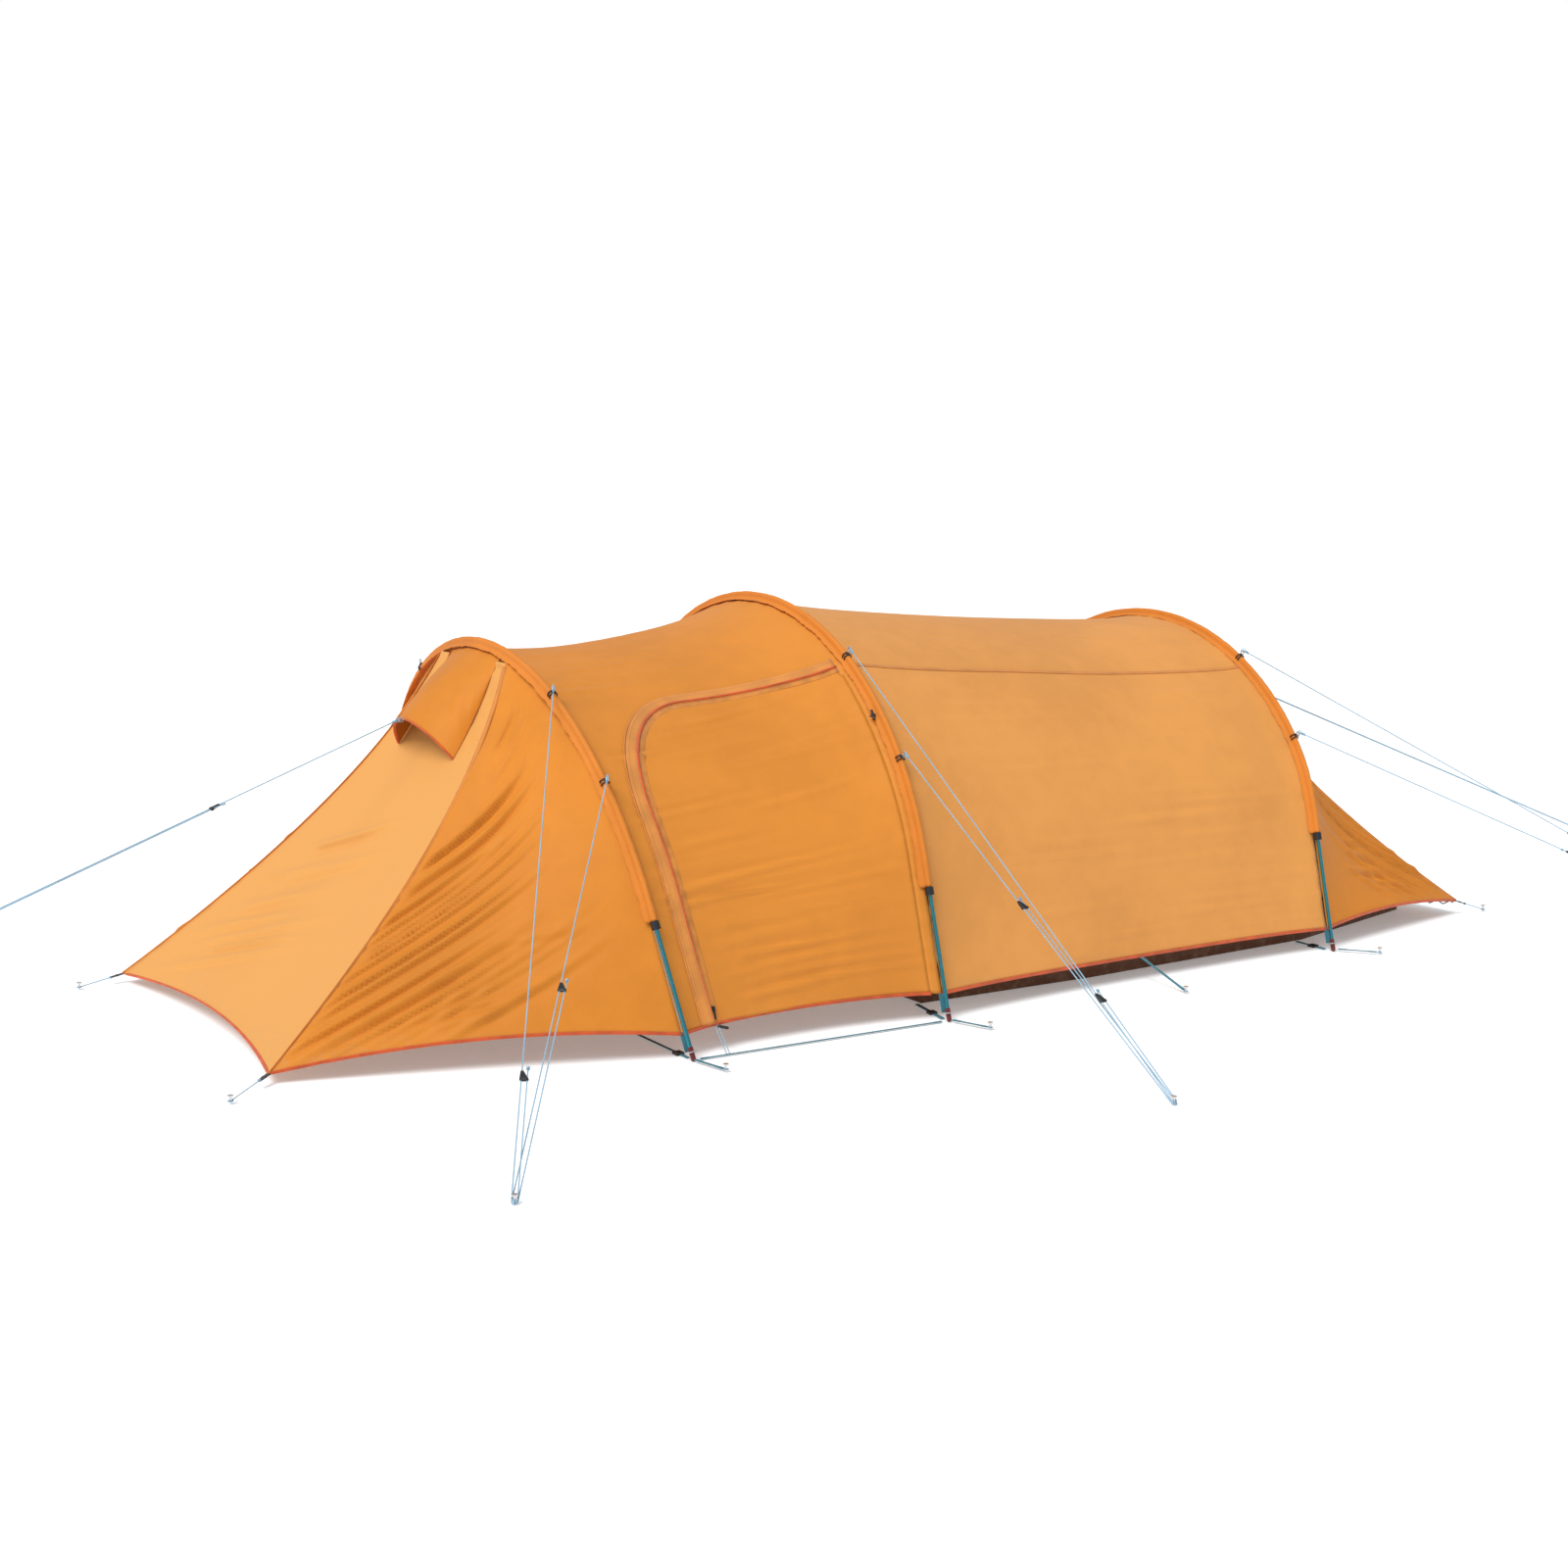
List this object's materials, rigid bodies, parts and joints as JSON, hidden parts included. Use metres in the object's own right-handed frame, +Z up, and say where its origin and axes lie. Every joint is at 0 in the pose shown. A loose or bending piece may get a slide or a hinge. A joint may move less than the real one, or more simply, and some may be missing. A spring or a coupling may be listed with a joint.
{
  "type": "tunnel tent",
  "caption": "Tunnel tent on bent hoop poles with a fly, inner tent, side door, vent hoods, ground pegs and tensioned guy lines.",
  "frame": {"origin": "on the ground, in the middle of the box that holds the tent and its ground pegs, not counting the guy lines and their pegs", "axes": "+X along the tent towards its low rear end, -Y towards the side door, +Z up"},
  "size_m": [7.7744, 3.364, 1.2118],
  "materials": {
    "fly_cloth": "coated ripstop, slight sheen",
    "sleeve_cloth": "woven, matt",
    "mesh": "fine net",
    "pole_tube": "anodised, satin",
    "pole_tip": "moulded",
    "black_plastic": "moulded",
    "bare_alloy": "satin",
    "webbing": "ribbed webbing",
    "groundsheet_cloth": "coated, dull",
    "inner_cloth": "thin breathable cloth",
    "zip_tape": "woven tape with coil",
    "zip_metal": "black lacquered",
    "tensioner_alloy": "moulded",
    "guy_line": "braided, reflective fleck"
  },
  "bodies": {
    "tent": {"main_roof": "fly_cloth", "main_side_near": "fly_cloth", "main_side_far": "fly_cloth", "porch_roof": "fly_cloth", "porch_side_near": "fly_cloth", "porch_side_far": "fly_cloth", "front_panel": "fly_cloth", "front_side_near": "fly_cloth", "front_side_far": "fly_cloth", "front_hood": "fly_cloth", "front_vent_mesh": "mesh", "rear_panel": "fly_cloth", "rear_side_near": "fly_cloth", "rear_side_far": "fly_cloth", "rear_hood": "fly_cloth", "rear_vent_mesh": "mesh", "front_pole": "pole_tube", "middle_pole": "pole_tube", "rear_pole": "pole_tube", "front_sleeve": "sleeve_cloth", "middle_sleeve": "sleeve_cloth", "rear_sleeve": "sleeve_cloth", "pole_tips": "pole_tip", "sleeve_collars": "black_plastic", "foot_eyelets": "bare_alloy", "foot_straps": "webbing", "guy_rings": "bare_alloy", "ground_pegs": "bare_alloy", "peg_straps": "webbing", "ground_straps": "webbing", "strap_buckles": "black_plastic", "groundsheet": "groundsheet_cloth", "inner_roof": "inner_cloth", "inner_side_near": "inner_cloth", "inner_side_far": "inner_cloth", "inner_front_wall": "inner_cloth", "inner_rear_wall": "inner_cloth", "inner_hangers": "black_plastic", "door_zip": "zip_tape", "door_toggle": "black_plastic", "front_hood_guy": "guy_line", "front_upper_guy": "guy_line", "front_lower_guy": "guy_line", "middle_upper_guy": "guy_line", "middle_lower_guy": "guy_line", "rear_upper_guy": "guy_line", "rear_lower_guy": "guy_line", "rear_hood_guy": "guy_line", "guy_pegs": "bare_alloy"},
    "side_door": {"side_door": "fly_cloth"},
    "zip_slider": {"zip_slider": "zip_metal"},
    "inner_door": {"inner_door": "inner_cloth"},
    "front_hood_tensioner": {"front_hood_tensioner": "tensioner_alloy"},
    "front_upper_tensioner": {"front_upper_tensioner": "tensioner_alloy"},
    "front_lower_tensioner": {"front_lower_tensioner": "tensioner_alloy"},
    "middle_upper_tensioner": {"middle_upper_tensioner": "tensioner_alloy"},
    "middle_lower_tensioner": {"middle_lower_tensioner": "tensioner_alloy"},
    "rear_upper_tensioner": {"rear_upper_tensioner": "tensioner_alloy"},
    "rear_lower_tensioner": {"rear_lower_tensioner": "tensioner_alloy"},
    "rear_hood_tensioner": {"rear_hood_tensioner": "tensioner_alloy"}
  },
  "joints": [
    {"name": "side_door_swing", "type": "hinge", "parent": "tent", "child": "side_door", "pos_m": [-0.26, -1.1927, 0.1414], "axis": [0, 0.4815, 0.8765], "range_deg": [0, 75]},
    {"name": "door_zip_slide", "type": "slide", "parent": "tent", "child": "zip_slider", "axis": [-0.1006, 0.3419, 0.9343], "range_m": [0, 0.318]},
    {"name": "inner_door_swing", "type": "hinge", "parent": "tent", "child": "inner_door", "pos_m": [-0.198, 0.3785, 0.4], "axis": [0, 0, -1], "range_deg": [0, 90]},
    {"name": "front_hood_tension", "type": "slide", "parent": "tent", "child": "front_hood_tensioner", "axis": [0.9354, -0.0029, 0.3537], "range_m": [-0.12, 0]},
    {"name": "front_upper_tension", "type": "slide", "parent": "tent", "child": "front_upper_tensioner", "axis": [0.4286, 0.7398, 0.5187], "range_m": [-0.12, 0]},
    {"name": "front_lower_tension", "type": "slide", "parent": "tent", "child": "front_lower_tensioner", "axis": [0.5266, 0.705, 0.4751], "range_m": [-0.12, 0]},
    {"name": "middle_upper_tension", "type": "slide", "parent": "tent", "child": "middle_upper_tensioner", "axis": [0.007, 0.8239, 0.5667], "range_m": [-0.12, 0]},
    {"name": "middle_lower_tension", "type": "slide", "parent": "tent", "child": "middle_lower_tensioner", "axis": [0.009, 0.8484, 0.5292], "range_m": [-0.12, 0]},
    {"name": "rear_upper_tension", "type": "slide", "parent": "tent", "child": "rear_upper_tensioner", "axis": [-0.7465, 0.4559, 0.4846], "range_m": [-0.12, 0]},
    {"name": "rear_lower_tension", "type": "slide", "parent": "tent", "child": "rear_lower_tensioner", "axis": [-0.8475, 0.3451, 0.4033], "range_m": [-0.12, 0]},
    {"name": "rear_hood_tension", "type": "slide", "parent": "tent", "child": "rear_hood_tensioner", "axis": [-0.9364, 0.0029, 0.3509], "range_m": [-0.12, 0]}
  ]
}
